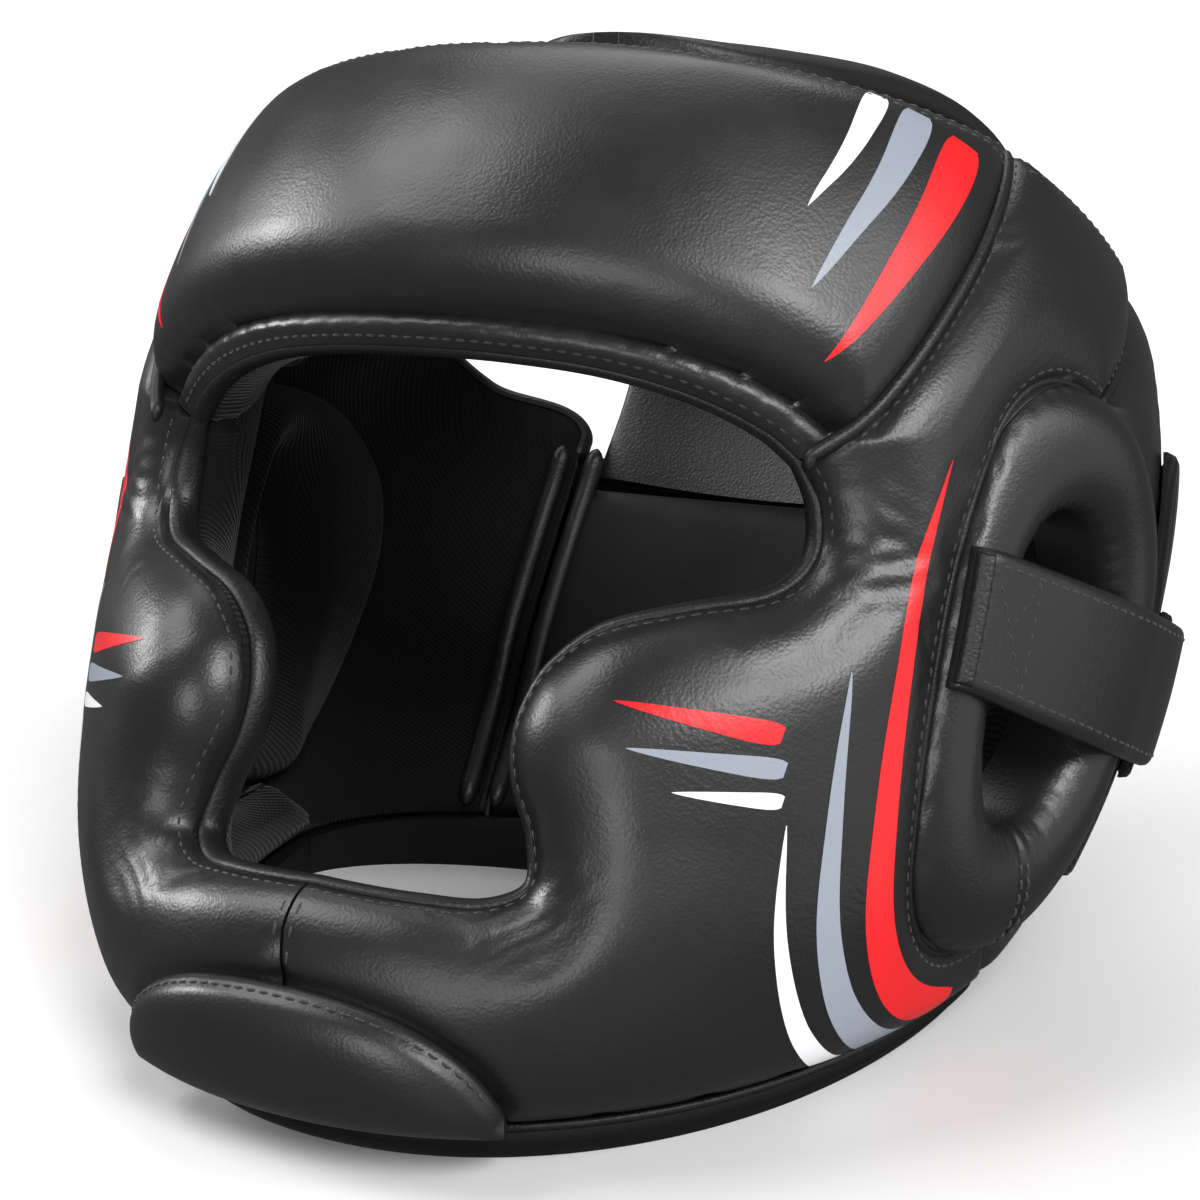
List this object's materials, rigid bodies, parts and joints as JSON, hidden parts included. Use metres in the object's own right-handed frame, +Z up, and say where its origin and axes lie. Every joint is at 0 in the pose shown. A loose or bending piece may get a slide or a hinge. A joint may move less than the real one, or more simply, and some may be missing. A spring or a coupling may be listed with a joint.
{
  "type": "full face boxing headgear",
  "caption": "Padded full face boxing headgear of black leather with a chin bar, cheek and forehead pads, ear rings, crown straps and a hook-and-loop rear closure.",
  "frame": {"origin": "on the surface it rests on, below the middle of the overall width and depth", "axes": "+Z up from the lower rim, -Y towards the face opening, +X towards the wearer's left ear"},
  "size_m": [0.2446, 0.2661, 0.1952],
  "materials": {
    "leather": "black pebbled synthetic leather with a soft sheen and red, grey and white swept stripes",
    "lining": "black ribbed knit lining, matt",
    "webbing": "black woven webbing with hook-and-loop pile",
    "binding": "black folded leather binding with a stitched edge"
  },
  "bodies": {
    "root": {"forehead_pad": "leather", "forehead_lining": "lining", "side_pad_left": "leather", "side_pad_right": "leather", "side_lining_left": "lining", "side_lining_right": "lining", "chin_pad": "leather", "ear_ring_left": "leather", "ear_ring_right": "leather", "ear_cushion_left": "lining", "ear_cushion_right": "lining", "ear_strap_left": "leather", "ear_strap_right": "leather", "strap_tab_left": "webbing", "strap_tab_right": "webbing", "back_pad_left": "leather", "back_pad_right": "leather", "back_lining_left": "lining", "back_lining_right": "lining", "rear_pad": "leather", "rear_flap": "webbing", "crown_rear": "leather", "crown_front": "leather", "rim_band": "binding"}
  },
  "joints": []
}
